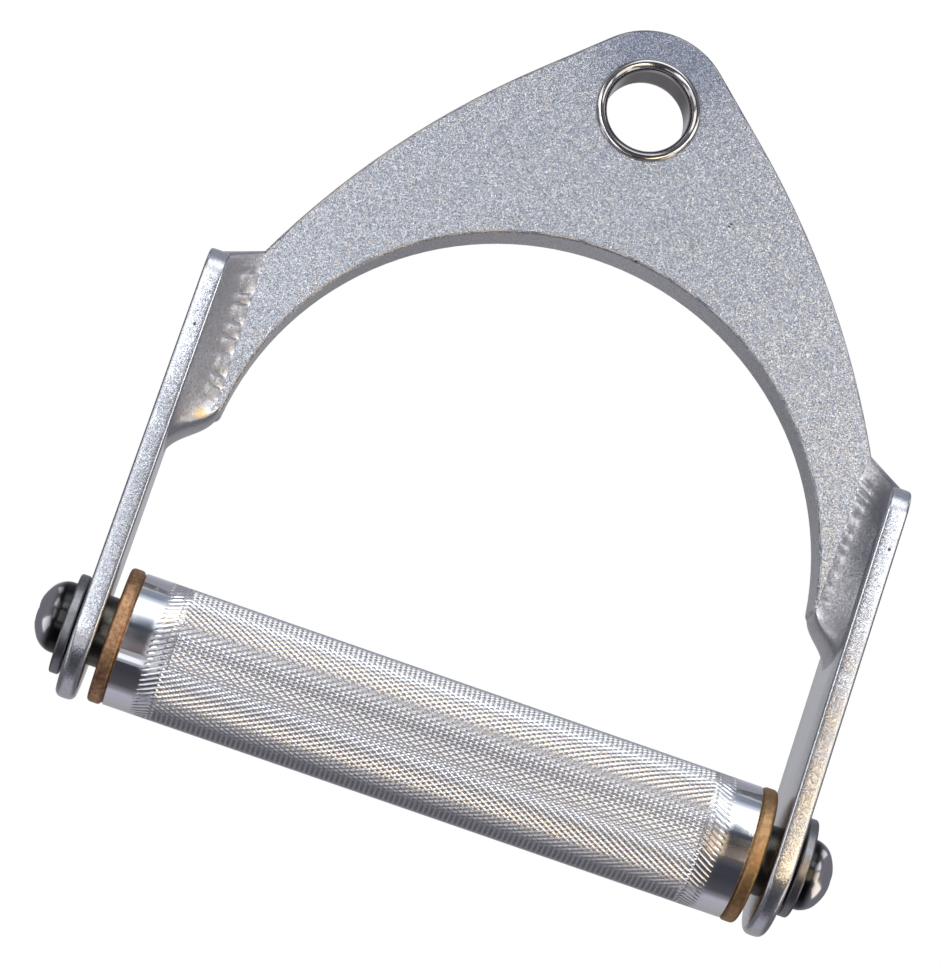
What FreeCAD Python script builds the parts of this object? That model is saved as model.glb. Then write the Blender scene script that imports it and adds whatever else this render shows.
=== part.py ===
import FreeCAD, Part
import math
import os

# Single-hand cable handle: an arched steel bow with an eye at its top, a flat strap welded to each
# end, and a knurled grip that turns on an axle between the straps.
# Units are millimetres. The origin is the centre of the eye's bore. +X runs along the grip from the
# left strap to the right strap, +Y is through the bow's thickness towards the rear, +Z is up.

# ---- driving dimensions ----
EYE_TO_GRIP = 161.0      # eye centre down to the grip's axis
STRAP_GAP = 164.0        # between the inner faces of the two straps
PLATE_THICKNESS = 12.0
STRAP_THICKNESS = 5.0
STRAP_WIDTH = 35.0
STRAP_RISE = 92.5        # grip axis up to the top of a strap
STRAP_TOP_RADIUS = 8.0
STRAP_CROWN = 0.5        # how far the strap's edge face bulges between its two corners
EYE_LOBE_RADIUS = 20.0   # outside of the bow around the eye
SHOULDER_SLOPE = 43.0    # degrees below level at which the outside leaves the eye lobe
SHOULDER_STRAIGHT = 20.0 # straight run before the outside starts to curve down
SHOULDER_RADIUS = 218.0  # long outer curve down to each strap
ARCH_RADIUS = 73.4       # inside curve of the bow
ARCH_RISE = 51.4         # grip axis up to the centre of the inside curve
TIP_RISE = 57.0          # grip axis up to the bow's two tips
BOW_TILT = 0.57          # degrees the bow is welded askew, its lower end towards the right strap
FIT_UP_STOCK = 2.0       # extra width at each tip before the bow is trimmed between the straps
TIP_ROUND = 2.2          # inner corner of each tip
EDGE_BREAK = 0.6         # small chamfer round the cut edges of the bow and the ends of the axle

BORE_RADIUS = 10.0       # inside of the eye bush
BUSH_WALL = 1.8
BUSH_LIP_RADIUS = 12.8
BUSH_LIP_PROUD = 0.9
BUSH_MOUTH_DEPTH = 2.5   # how far the rounded mouth reaches in from each lip

WELD_LEGS = {            # each fillet's leg at the tip and at the strap's top, on plate and strap
    "left_front": (7.0, 6.4),
    "right_front": (6.2, 2.8),
    "left_rear": (6.5, 6.0),
    "right_rear": (6.5, 6.0),
}
WELD_BELLY = 0.55        # how full a fillet is: 0.5 is flat, more is convex
WELD_TOP_CROWN = 5.6     # how far the top weld stands above the strap where it meets the bow
WELD_TOP_COVER = 4.4     # how far the top weld reaches over the strap's top
WELD_TIP_DROP = {"left": 11.0, "right": 8.5}  # how far the weld under each tip runs down the strap
WELD_HOLLOW = 0.35       # how far the top and tip welds' faces sag from a straight ramp

GRIP_DIAMETER = 32.0
GRIP_LENGTH = 152.0
GRIP_BORE = 21.0
GRIP_END_CHAMFER = 1.0
FLANGE_DIAMETER = 32.6
FLANGE_THICKNESS = 3.5
FLANGE_ROUND = 1.0
BUSHING_LENGTH = 22.0    # the sleeve inside the grip tube, without its flange

AXLE_DIAMETER = 17.0
AXLE_PLAY = 1.8          # total end play of the axle through the straps
AXLE_OFFSET = 0.4        # the axle rests this far to the right of centre
STRAP_CLEARANCE = 0.06   # radial, strap bore round the axle
BUSHING_CLEARANCE = 0.04 # radial, bushing bore round the axle

WASHER_DIAMETER = 24.0
WASHER_THICKNESS = 2.5
WASHER_BORE = 12.2
WASHER_SAG = 0.9         # off centre on the screws: the left washer hangs low, the right sits high
WASHER_ROUND = 0.6
SCREW_DIAMETER = 10.0
SCREW_LENGTH = 25.0
SCREW_HEAD_DIAMETER = 17.2
SCREW_HEAD_HEIGHT = 7.2
SCREW_RIM_HEIGHT = 0.8   # straight edge under the domed head
SCREW_SHOULDER = 5.4     # radius that turns the rim into the crown
SOCKET_ACROSS_FLATS = 6.0
SOCKET_DEPTH = 3.0
TAPPED_DEPTH = 28.0

# ---- worked out ----
GRIP_Z = -EYE_TO_GRIP
HALF_GAP = STRAP_GAP / 2
HALF_PLATE = PLATE_THICKNESS / 2
STRAP_TOP_Z = GRIP_Z + STRAP_RISE
TIP_Z = GRIP_Z + TIP_RISE
ARCH_Z = GRIP_Z + ARCH_RISE
PLATE_HOLE_RADIUS = BORE_RADIUS + BUSH_WALL
AXLE_RADIUS = AXLE_DIAMETER / 2
HALF_AXLE = HALF_GAP + STRAP_THICKNESS + AXLE_PLAY / 2
SLOPE = math.radians(SHOULDER_SLOPE)
STRAIGHT_END_X = EYE_LOBE_RADIUS * math.sin(SLOPE) + SHOULDER_STRAIGHT * math.cos(SLOPE)
STRAIGHT_END_Z = EYE_LOBE_RADIUS * math.cos(SLOPE) - SHOULDER_STRAIGHT * math.sin(SLOPE)
SHOULDER_X = STRAIGHT_END_X - SHOULDER_RADIUS * math.sin(SLOPE)
SHOULDER_Z = STRAIGHT_END_Z - SHOULDER_RADIUS * math.cos(SLOPE)
X_AXIS = FreeCAD.Vector(1, 0, 0)
Y_AXIS = FreeCAD.Vector(0, 1, 0)


def at(x, y, z):
    return FreeCAD.Vector(x, y, z)


def shoulder_point(z):
    """Point of the bow's outer curve, right-hand side, at height z, in the plane y = 0."""
    return at(SHOULDER_X + math.sqrt(SHOULDER_RADIUS ** 2 - (z - SHOULDER_Z) ** 2), 0, z)


def arch_point(angle):
    """Point of the bow's inside curve, at an angle in degrees from +X."""
    turn = math.radians(angle)
    return at(ARCH_RADIUS * math.cos(turn), 0, ARCH_Z + ARCH_RADIUS * math.sin(turn))


def shoulder_height(x):
    """Height of the bow's outer curve, right-hand side, at x."""
    return SHOULDER_Z + math.sqrt(SHOULDER_RADIUS ** 2 - (x - SHOULDER_X) ** 2)


def leaning(point, side):
    """Where a point of a right-hand (side 1) or mirrored left-hand (side -1) half goes as the bow leans."""
    return FreeCAD.Rotation(Y_AXIS, -BOW_TILT * side).multVec(point)


def arc(start, middle, end):
    return Part.Arc(start, middle, end).toShape()


def line(start, end):
    return Part.LineSegment(start, end).toShape()


def extrude_y(edges, half_thickness):
    """Solid from a closed outline in the plane y = 0, half_thickness to each side of it."""
    face = Part.Face(Part.Wire(edges))
    face.translate(Y_AXIS * -half_thickness)
    return face.extrude(Y_AXIS * (2 * half_thickness))


def cylinder_x(radius, start_x, end_x):
    """Cylinder round the grip's axis from start_x to end_x."""
    return Part.makeCylinder(radius, end_x - start_x, at(start_x, 0, GRIP_Z), X_AXIS)


def turned_x(edges):
    """Solid turned round the grip's axis from a closed outline in the plane y = 0 above it."""
    return Part.Face(Part.Wire(edges)).revolve(at(0, 0, GRIP_Z), X_AXIS, 360)


def mirrored(shape):
    """The same piece on the left-hand side."""
    return shape.mirror(at(0, 0, 0), X_AXIS)


def round_outer_edges(shape, radius, size, cut):
    """Round or chamfer the circular edges of a radius round the grip's axis."""
    rims = [e for e in shape.Edges if is_rim(e, radius)]
    if cut == "round":
        return shape.makeFillet(size, rims)
    return shape.makeChamfer(size, rims)


def is_rim(edge, radius):
    curve = edge.Curve
    return isinstance(curve, Part.Circle) and abs(curve.Radius - radius) < 0.001


def bow_plate():
    """Arched plate with the hole for the eye bush near its top, trimmed to fit between the straps."""
    side_x = HALF_GAP + FIT_UP_STOCK
    lobe_end = at(EYE_LOBE_RADIUS * math.sin(SLOPE), 0, EYE_LOBE_RADIUS * math.cos(SLOPE))
    straight_end = at(STRAIGHT_END_X, 0, STRAIGHT_END_Z)
    shoulder_end = at(side_x, 0, shoulder_height(side_x))
    tip_outer = at(side_x, 0, TIP_Z)
    tip_inner = arch_point(math.degrees(math.asin((TIP_Z - ARCH_Z) / ARCH_RADIUS)))
    middle = shoulder_point((straight_end.z + shoulder_end.z) / 2)
    right = [line(lobe_end, straight_end),
             arc(straight_end, middle, shoulder_end),
             line(shoulder_end, tip_outer),
             line(tip_outer, tip_inner)]
    left = [mirrored(edge) for edge in right]
    lobe = arc(flip(lobe_end), at(0, 0, EYE_LOBE_RADIUS), lobe_end)
    arch = arc(tip_inner, arch_point(90), flip(tip_inner))
    outline = Part.__sortEdges__([lobe] + right + [arch] + left)
    plate = extrude_y(outline, HALF_PLATE)
    plate = plate.makeFillet(TIP_ROUND, [e for e in plate.Edges if is_tip_corner(e, tip_inner)])
    plate = plate.makeChamfer(EDGE_BREAK, [e for e in plate.Edges if is_free_edge(e)])
    hole = Part.makeCylinder(PLATE_HOLE_RADIUS, PLATE_THICKNESS, at(0, -HALF_PLATE, 0), Y_AXIS)
    between_straps = Part.makeBox(STRAP_GAP, PLATE_THICKNESS, EYE_TO_GRIP + EYE_LOBE_RADIUS,
                                  at(-HALF_GAP, -HALF_PLATE, GRIP_Z))
    return plate.cut(hole).rotated(at(0, 0, 0), Y_AXIS, -BOW_TILT).common(between_straps)


def flip(point):
    return at(-point.x, point.y, point.z)


def is_tip_corner(edge, tip_inner):
    """The edge through the plate's thickness at either tip's inner corner."""
    middle = edge.CenterOfMass
    return abs(abs(middle.x) - tip_inner.x) < 0.001 and abs(middle.z - tip_inner.z) < 0.001


def is_free_edge(edge):
    """An edge of the plate's faces that no weld covers: the eye lobe, the shoulders and the arch."""
    box = edge.BoundBox
    beside_strap = box.XLength < 0.001
    under_tip = box.ZLength < 0.001
    return box.YLength < 0.001 and not beside_strap and not under_tip


def eye_bush():
    """Polished liner of the eye, its lips rolled over both faces of the plate."""
    lip_y = HALF_PLATE + BUSH_LIP_PROUD
    mouth_y = lip_y - BUSH_MOUTH_DEPTH
    crest_radius = (BORE_RADIUS + BUSH_LIP_RADIUS) / 2

    def corner(radius, y):
        return at(radius, y, 0)

    def half(side):
        diagonal = math.sqrt(0.5)
        inner_run = crest_radius - BORE_RADIUS
        outer_run = BUSH_LIP_RADIUS - crest_radius
        mouth = arc(corner(BORE_RADIUS, side * mouth_y),
                    corner(crest_radius - inner_run * diagonal,
                           side * (mouth_y + BUSH_MOUTH_DEPTH * diagonal)),
                    corner(crest_radius, side * lip_y))
        lip = arc(corner(crest_radius, side * lip_y),
                  corner(crest_radius + outer_run * diagonal,
                         side * (HALF_PLATE + BUSH_LIP_PROUD * diagonal)),
                  corner(BUSH_LIP_RADIUS, side * HALF_PLATE))
        seat = line(corner(BUSH_LIP_RADIUS, side * HALF_PLATE), corner(PLATE_HOLE_RADIUS, side * HALF_PLATE))
        return [mouth, lip, seat]

    bore = line(corner(BORE_RADIUS, -mouth_y), corner(BORE_RADIUS, mouth_y))
    barrel = line(corner(PLATE_HOLE_RADIUS, -HALF_PLATE), corner(PLATE_HOLE_RADIUS, HALF_PLATE))
    outline = Part.__sortEdges__([bore, barrel] + half(-1) + half(1))
    return Part.Face(Part.Wire(outline)).revolve(at(0, 0, 0), Y_AXIS, 360)


def strap():
    """Flat bar with crowned edges: full round at the bottom, rounded corners at the top, bored for the axle."""
    sections = [strap_outline(HALF_GAP, STRAP_CROWN),
                strap_outline(HALF_GAP + STRAP_THICKNESS / 2, 0),
                strap_outline(HALF_GAP + STRAP_THICKNESS, STRAP_CROWN)]
    bar = Part.makeLoft(sections, True)
    bore = cylinder_x(AXLE_RADIUS + STRAP_CLEARANCE, HALF_GAP, HALF_GAP + STRAP_THICKNESS)
    return bar.cut(bore)


def strap_outline(x, inset):
    """Outline of the strap at x, drawn in all round by an inset."""
    half = STRAP_WIDTH / 2 - inset
    top_z = STRAP_TOP_Z - inset
    radius = STRAP_TOP_RADIUS - inset
    bend = radius * (1 - math.sqrt(0.5))

    def corner(y, z):
        return at(x, y, z)

    def top_round(side):
        return arc(corner(side * half, top_z - radius),
                   corner(side * (half - bend), top_z - bend),
                   corner(side * (half - radius), top_z))

    edges = [arc(corner(-half, GRIP_Z), corner(0, GRIP_Z - half), corner(half, GRIP_Z)),
             line(corner(half, GRIP_Z), corner(half, top_z - radius)),
             top_round(1),
             line(corner(half - radius, top_z), corner(radius - half, top_z)),
             top_round(-1),
             line(corner(-half, top_z - radius), corner(-half, GRIP_Z))]
    return Part.Wire(edges)


def fillet_weld(name, side):
    """Fillet run up the corner between the bow and the strap: side -1 is the front, 1 the rear."""
    tip_leg, top_leg = WELD_LEGS[name]
    sections = [weld_section(side, tip_leg, TIP_Z), weld_section(side, top_leg, STRAP_TOP_Z)]
    return Part.makeLoft(sections, True)


def weld_section(side, leg, z):
    """Three-sided section of a fillet at height z."""
    face_y = side * HALF_PLATE
    root = at(HALF_GAP, face_y, z)
    plate_toe = at(HALF_GAP - leg, face_y, z)
    strap_toe = at(HALF_GAP, face_y + side * leg, z)
    belly = at(HALF_GAP - leg * WELD_BELLY, face_y + side * leg * WELD_BELLY, z)
    return Part.Wire([line(strap_toe, root),
                      line(root, plate_toe),
                      arc(plate_toe, belly, strap_toe)])


def top_weld(bow, side):
    """Weld in the notch over the bow's shoulder, running out over the top of the strap."""
    strap_toe = at(HALF_GAP + WELD_TOP_COVER, 0, STRAP_TOP_Z)
    crown = leaning(shoulder_point(STRAP_TOP_Z + WELD_TOP_CROWN), side)
    dip = (crown + strap_toe) * 0.5 - at(WELD_HOLLOW, 0, WELD_HOLLOW)
    bottom_z = shoulder_height(HALF_GAP) - WELD_TOP_CROWN
    outline = [arc(crown, dip, strap_toe),
               line(strap_toe, at(strap_toe.x, 0, bottom_z)),
               line(at(strap_toe.x, 0, bottom_z), at(crown.x, 0, bottom_z)),
               line(at(crown.x, 0, bottom_z), crown)]
    return only_weld(extrude_y(outline, HALF_PLATE), bow)


def tip_weld(bow, side, drop):
    """Weld that wraps under the bow's tip and runs down the strap's inner face by a given drop."""
    tip_x = math.sqrt(ARCH_RADIUS ** 2 - (TIP_Z - ARCH_Z) ** 2) + TIP_ROUND
    tip_toe = leaning(at(tip_x, 0, TIP_Z), side)
    strap_toe = at(HALF_GAP, 0, TIP_Z - drop)
    middle = at((tip_toe.x + strap_toe.x) / 2 + WELD_HOLLOW, 0, (tip_toe.z + strap_toe.z) / 2 + WELD_HOLLOW)
    top_z = TIP_Z + FIT_UP_STOCK
    outline = [arc(tip_toe, middle, strap_toe),
               line(strap_toe, at(HALF_GAP, 0, top_z)),
               line(at(HALF_GAP, 0, top_z), at(tip_toe.x, 0, top_z)),
               line(at(tip_toe.x, 0, top_z), tip_toe)]
    return only_weld(extrude_y(outline, HALF_PLATE), bow)


def only_weld(block, bow):
    """What is left of a block of weld outside the bow and the strap."""
    left_over = block.cut(bow).cut(strap())
    return max(left_over.Solids, key=lambda solid: solid.Volume)


def grip_tube():
    """Thick tube that the hand holds, with chamfered ends."""
    half = GRIP_LENGTH / 2
    tube = cylinder_x(GRIP_DIAMETER / 2, -half, half)
    tube = round_outer_edges(tube, GRIP_DIAMETER / 2, GRIP_END_CHAMFER, "chamfer")
    return tube.cut(cylinder_x(GRIP_BORE / 2, -half, half))


def bushing():
    """Flanged bronze bushing in the right-hand end of the grip tube."""
    face_x = GRIP_LENGTH / 2
    flange = cylinder_x(FLANGE_DIAMETER / 2, face_x, face_x + FLANGE_THICKNESS)
    flange = round_outer_edges(flange, FLANGE_DIAMETER / 2, FLANGE_ROUND, "round")
    sleeve = cylinder_x(GRIP_BORE / 2, face_x - BUSHING_LENGTH, face_x)
    bore = cylinder_x(AXLE_RADIUS + BUSHING_CLEARANCE, face_x - BUSHING_LENGTH, face_x + FLANGE_THICKNESS)
    return flange.fuse(sleeve).removeSplitter().cut(bore)


def axle_shaft():
    """Plain round axle through both straps, with a tapped hole in each end."""
    left_end = AXLE_OFFSET - HALF_AXLE
    right_end = AXLE_OFFSET + HALF_AXLE
    shaft = cylinder_x(AXLE_RADIUS, left_end, right_end)
    shaft = round_outer_edges(shaft, AXLE_RADIUS, EDGE_BREAK, "chamfer")
    shaft = shaft.cut(cylinder_x(SCREW_DIAMETER / 2, left_end, left_end + TAPPED_DEPTH))
    return shaft.cut(cylinder_x(SCREW_DIAMETER / 2, right_end - TAPPED_DEPTH, right_end))


def washer():
    """Washer against the right-hand end of a centred axle."""
    disc = cylinder_x(WASHER_DIAMETER / 2, HALF_AXLE, HALF_AXLE + WASHER_THICKNESS)
    disc = round_outer_edges(disc, WASHER_DIAMETER / 2, WASHER_ROUND, "round")
    return disc.cut(cylinder_x(WASHER_BORE / 2, HALF_AXLE, HALF_AXLE + WASHER_THICKNESS))


def screw():
    """Round-head socket screw in the right-hand end of a centred axle."""
    seat_x = HALF_AXLE + WASHER_THICKNESS
    rim_x = seat_x + SCREW_RIM_HEIGHT
    top_x = seat_x + SCREW_HEAD_HEIGHT
    tip_x = seat_x - SCREW_LENGTH
    head_radius = SCREW_HEAD_DIAMETER / 2
    # The crown is centred on the axis and runs tangent into the shoulder.
    rise = top_x - rim_x
    inset = head_radius - SCREW_SHOULDER
    crown = (rise ** 2 + inset ** 2 - SCREW_SHOULDER ** 2) / (2 * (rise - SCREW_SHOULDER))
    turn = math.asin(inset / (crown - SCREW_SHOULDER))

    def corner(x, radius):
        return at(x, 0, GRIP_Z + radius)

    def on_crown(angle):
        return corner(top_x - crown * (1 - math.cos(angle)), crown * math.sin(angle))

    def on_shoulder(angle):
        return corner(rim_x + SCREW_SHOULDER * math.cos(angle), inset + SCREW_SHOULDER * math.sin(angle))

    outline = [line(corner(tip_x, 0), corner(tip_x, SCREW_DIAMETER / 2)),
               line(corner(tip_x, SCREW_DIAMETER / 2), corner(seat_x, SCREW_DIAMETER / 2)),
               line(corner(seat_x, SCREW_DIAMETER / 2), corner(seat_x, head_radius)),
               line(corner(seat_x, head_radius), corner(rim_x, head_radius)),
               arc(corner(rim_x, head_radius), on_shoulder((turn + math.pi / 2) / 2), on_crown(turn)),
               arc(on_crown(turn), on_crown(turn / 2), corner(top_x, 0)),
               line(corner(top_x, 0), corner(tip_x, 0))]
    return turned_x(outline).cut(hex_socket(top_x))


def hex_socket(top_x):
    """Hexagonal recess sunk into the head from its top."""
    corner_radius = SOCKET_ACROSS_FLATS / math.sqrt(3)
    corners = [at(top_x - SOCKET_DEPTH,
                  corner_radius * math.cos(math.radians(60 * k)),
                  GRIP_Z + corner_radius * math.sin(math.radians(60 * k))) for k in range(7)]
    return Part.Face(Part.makePolygon(corners)).extrude(X_AXIS * SOCKET_DEPTH)


def shifted(shape, sag):
    """An end fitting of the axle, moved with the axle to where it rests and down by its sag."""
    moved = shape.copy()
    moved.translate(at(AXLE_OFFSET, 0, -sag))
    return moved


def save(name, shape):
    shape.exportStep("parts/" + name + ".step")


def main():
    os.makedirs("parts", exist_ok=True)
    bow = bow_plate()
    save("bow_plate", bow)
    save("eye_bush", eye_bush())
    save("grip_tube", grip_tube())
    save("axle_shaft", axle_shaft())
    save("right_front_weld", fillet_weld("right_front", -1))
    save("right_rear_weld", fillet_weld("right_rear", 1))
    save("left_front_weld", mirrored(fillet_weld("left_front", -1)))
    save("left_rear_weld", mirrored(fillet_weld("left_rear", 1)))
    save("right_top_weld", top_weld(bow, 1))
    save("right_tip_weld", tip_weld(bow, 1, WELD_TIP_DROP["right"]))
    save("left_top_weld", mirrored(top_weld(mirrored(bow), -1)))
    save("left_tip_weld", mirrored(tip_weld(mirrored(bow), -1, WELD_TIP_DROP["left"])))
    for name, shape in {"strap": strap(), "bushing": bushing()}.items():
        save("right_" + name, shape)
        save("left_" + name, mirrored(shape))
    axle_pairs = {"washer": (washer(), WASHER_SAG),
                  "screw": (screw(), 0)}
    for name, (shape, sag) in axle_pairs.items():
        save("right_" + name, shifted(shape, -sag))
        save("left_" + name, shifted(mirrored(shape), sag))


main()
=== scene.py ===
import math
from collections import namedtuple
from types import SimpleNamespace

import bpy
import numpy as np
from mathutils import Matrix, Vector


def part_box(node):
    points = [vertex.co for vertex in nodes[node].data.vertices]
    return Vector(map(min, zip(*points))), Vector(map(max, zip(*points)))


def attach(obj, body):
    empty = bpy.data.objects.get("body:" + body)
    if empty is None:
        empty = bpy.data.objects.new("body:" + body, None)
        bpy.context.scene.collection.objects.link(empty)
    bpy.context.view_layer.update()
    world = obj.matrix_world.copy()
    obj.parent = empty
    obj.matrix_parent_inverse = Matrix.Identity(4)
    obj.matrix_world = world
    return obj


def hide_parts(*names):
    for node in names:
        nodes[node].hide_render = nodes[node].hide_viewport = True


# Looks of a single-hand cable handle: a material for each CAD part, a real knurl on the grip, straps
# with softened edges, one rippled weld round each end of the bow, and the studio around it all.
# Lengths are millimetres unless a name or comment says metres. +X runs along the grip to the right,
# +Y to the rear and +Z up, and the origin is the centre of the eye.
MM = 0.001

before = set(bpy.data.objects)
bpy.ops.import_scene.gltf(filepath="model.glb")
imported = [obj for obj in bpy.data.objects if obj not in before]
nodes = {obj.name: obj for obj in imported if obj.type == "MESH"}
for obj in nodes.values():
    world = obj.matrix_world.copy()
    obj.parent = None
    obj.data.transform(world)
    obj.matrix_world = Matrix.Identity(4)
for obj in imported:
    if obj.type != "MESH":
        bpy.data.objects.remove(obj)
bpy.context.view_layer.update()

# ---- places taken from the frame ----


def node_box(name):
    """Lowest and highest corner of a CAD node, in millimetres."""
    low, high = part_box(name)
    return np.array(low) / MM, np.array(high) / MM


GRIP_LOW, GRIP_HIGH = node_box("grip_tube")
GRIP_Z = (GRIP_LOW[2] + GRIP_HIGH[2]) / 2
GRIP_RADIUS = (GRIP_HIGH[2] - GRIP_LOW[2]) / 2
GRIP_HALF = GRIP_HIGH[0]
AXLE_LOW, AXLE_HIGH = node_box("axle_shaft")
AXLE_RADIUS = (AXLE_HIGH[2] - AXLE_LOW[2]) / 2
STRAP_INNER_X = node_box("right_strap")[0][0]
PLATE_HALF = -node_box("bow_plate")[0][1]            # half the plate's thickness


# ---- meshes ----

CREASE_ANGLE = 25          # degrees; sharper edges than this stay crisp


def mesh_piece(name, points, faces, material, smooth=True):
    """Mesh object from points in millimetres; smooth is one flag, or one for each face."""
    mesh = bpy.data.meshes.new(name)
    mesh.from_pydata((np.asarray(points) * MM).tolist(), [], faces)
    mesh.polygons.foreach_set("use_smooth", np.broadcast_to(smooth, len(faces)).tolist())
    mesh.validate()
    mesh.set_sharp_from_angle(angle=math.radians(CREASE_ANGLE))
    piece = bpy.data.objects.new(name, mesh)
    bpy.context.scene.collection.objects.link(piece)
    piece.data.materials.append(material)
    return piece


def blend(start, end, share):
    """Points at the given shares of the way from start to end."""
    share = np.asarray(share)[:, None]
    return (1 - share) * np.asarray(start) + share * np.asarray(end)


def joined_rings(start, after, count, forward):
    """Quads between two closed rings of count points each; forward false turns them inside out."""
    quads = []
    for j in range(count):
        n = (j + 1) % count
        quad = (start + j, after + j, after + n, start + n)
        quads.append(quad if forward else quad[::-1])
    return quads


def stand_in(piece, body, slot, *replaced):
    """The piece rides on a body and stands for CAD nodes."""
    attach(piece, body)
    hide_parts(*replaced)


# ---- node trees ----


def colour_of(value):
    """RGBA from a grey number, an RGB tuple or an RGBA tuple."""
    if isinstance(value, (int, float)):
        return (value, value, value, 1.0)
    return (*value, 1.0) if len(value) == 3 else value


def is_socket(value):
    return isinstance(value, bpy.types.NodeSocket)


class Nodes:
    """A node tree being built; each call adds nodes and returns one of them or its output."""

    def __init__(self, tree):
        self.tree = tree
        tree.nodes.clear()

    def add(self, kind, inputs=None, **settings):
        """One node; inputs are sockets to link or values to set, by name or number."""
        node = self.tree.nodes.new(kind)
        for key, value in settings.items():
            setattr(node, key, value)
        for key, value in (inputs or {}).items():
            if is_socket(value):
                self.tree.links.new(value, node.inputs[key])
            else:
                node.inputs[key].default_value = value
        return node

    def math(self, operation, a, b=0.0):
        return self.add("ShaderNodeMath", {0: a, 1: b}, operation=operation).outputs[0]

    def vector(self, operation, a, b):
        return self.add("ShaderNodeVectorMath", {0: a, 1: b}, operation=operation).outputs[0]

    def scaled(self, a, factor):
        return self.add("ShaderNodeVectorMath", {0: a, "Scale": factor}, operation="SCALE").outputs[0]

    def distance(self, a, b):
        return self.add("ShaderNodeVectorMath", {0: a, 1: b}, operation="DISTANCE").outputs["Value"]

    def ramp(self, value, stops):
        """Colour ramp through (position, colour) stops."""
        node = self.add("ShaderNodeValToRGB", {"Fac": value})
        elements = node.color_ramp.elements
        while len(elements) < len(stops):
            elements.new(0.5)
        for element, (position, colour) in zip(elements, stops):
            element.position = position
            element.color = colour_of(colour)
        return node.outputs["Color"]

    def mix(self, factor, a, b):
        """Colour a where factor is 0, colour b where it is 1."""
        first, second = (value if is_socket(value) else colour_of(value) for value in (a, b))
        return self.add("ShaderNodeMix", {"Factor": factor, 6: first, 7: second}, data_type="RGBA").outputs[2]

    def fade(self, value, low, high, at_low=0.0, at_high=1.0):
        """Smooth change from at_low to at_high as the value goes from low to high."""
        return self.add("ShaderNodeMapRange", {0: value, 1: low, 2: high, 3: at_low, 4: at_high},
                        interpolation_type="SMOOTHSTEP").outputs[0]


class Shader(Nodes):
    """A material being built; its sizes and places are in millimetres."""

    def __init__(self, name):
        self.material = bpy.data.materials.new(name)
        self.material.use_nodes = True
        super().__init__(self.material.node_tree)
        self.place = self.scaled(self.add("ShaderNodeTexCoord").outputs["Object"], 1 / MM)

    def axis(self, letter):
        return self.add("ShaderNodeSeparateXYZ", {0: self.place}).outputs[letter]

    def noise(self, size, detail=2.0, roughness=0.5, squeeze=None):
        """Noise whose blobs are about size across; squeeze multiplies the place before it is looked up."""
        place = self.vector("MULTIPLY", self.place, squeeze) if squeeze else self.place
        inputs = {"Vector": place, "Scale": 1 / size, "Detail": detail, "Roughness": roughness}
        return self.add("ShaderNodeTexNoise", inputs).outputs["Fac"]

    def bump(self, height, depth, below=None):
        """Normal of bumps of the given depth for a height of 0 to 1."""
        inputs = {"Height": height, "Distance": depth * MM, "Strength": 1.0}
        if below is not None:
            inputs["Normal"] = below
        return self.add("ShaderNodeBump", inputs).outputs["Normal"]

    def flakes(self, size, tilt):
        """Normal that differs from one flake of the finish to the next."""
        cells = self.add("ShaderNodeTexVoronoi", {"Vector": self.place, "Scale": 1 / size})
        lean = self.scaled(self.vector("SUBTRACT", cells.outputs["Color"], (0.5, 0.5, 0.5)), tilt)
        flat = self.add("ShaderNodeNewGeometry").outputs["Normal"]
        tilted = self.vector("ADD", flat, lean)
        return self.add("ShaderNodeVectorMath", {0: tilted}, operation="NORMALIZE").outputs[0]

    def spot(self, colour, place, radius, spot_colour):
        """The colour with a small ragged spot of another colour on it: a stain on the plate, a painted glint
        on the weld.
        """
        away = self.distance(self.place, place)
        ragged = self.math("ADD", away, self.math("MULTIPLY", self.noise(SPOT_GRAIN), radius))
        spot_share = self.fade(ragged, SPOT_CORE * radius, SPOT_RIM * radius, 1.0, 0.0)
        return self.mix(spot_share, colour, spot_colour)

    def finish(self, colour, roughness, normal=None, metallic=1.0, **extra):
        """The finished material."""
        inputs = {"Base Color": colour, "Roughness": roughness, "Metallic": metallic, **extra}
        if normal is not None:
            inputs["Normal"] = normal
        surface = self.add("ShaderNodeBsdfPrincipled", inputs)
        self.add("ShaderNodeOutputMaterial", {"Surface": surface.outputs["BSDF"]})
        return self.material


SPOT_GRAIN = 0.5           # size of the raggedness round a spot
SPOT_CORE = 1.1            # ragged distance, in radii, up to which the spot is full
SPOT_RIM = 1.7             # and at which it has gone


# ---- materials ----

FLAKE_SIZE = 0.24
FLAKE_TILT = 0.50          # how far the plate's flakes lean
STRAP_FLAKE_TILT = FLAKE_TILT / 5
SPECKLE_SIZE = 0.31        # a little over a flake
SPECKLE = [(0.36, (0.34, 0.38, 0.47)), (0.50, (0.54, 0.56, 0.60)), (0.64, (0.80, 0.78, 0.74))]
CLOUD_SIZE = 12.0
CLOUD_SHARE = 0.30         # how much of the coat's colour the clouds may take
CLOUD_GREY = (0.38, 0.42, 0.50)
EVEN_GREY = (0.72, 0.73, 0.76)
CLEAR_COAT = {"Coat Weight": 0.7, "Coat Roughness": 0.22}

LOBE_TOP = (0.0, 0.0, 18.0)          # near the top edge of the plate, above the eye
# Painted shade: a darker, bluer colour painted round the top of the eye.
LOBE_PAINTED_SHADE = (0.22, 0.25, 0.36)
LOBE_REACH = (8.0, 30.0, 0.6, 0.0)   # distances between which the painted shade goes, and its shares there

CHAMFER_START = 5.72       # distance from the plate's middle at which its edge chamfer begins
CHAMFER_END = 5.96
CHAMFER_BLEND = 0.05
GLINT_PATCH = 4.0           # size of the worn patches on it, which carry the painted glint
GLINT_SPREAD = (-50.0, 40.0)          # x from which the painted glint turns from golden to white, and to which
GLINT_LEFT = (1.0, 0.80, 0.60)        # colour of the worn chamfer's painted glint, golden on the left and white on the right
GLINT_RIGHT = (1.0, 0.98, 0.95)

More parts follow.
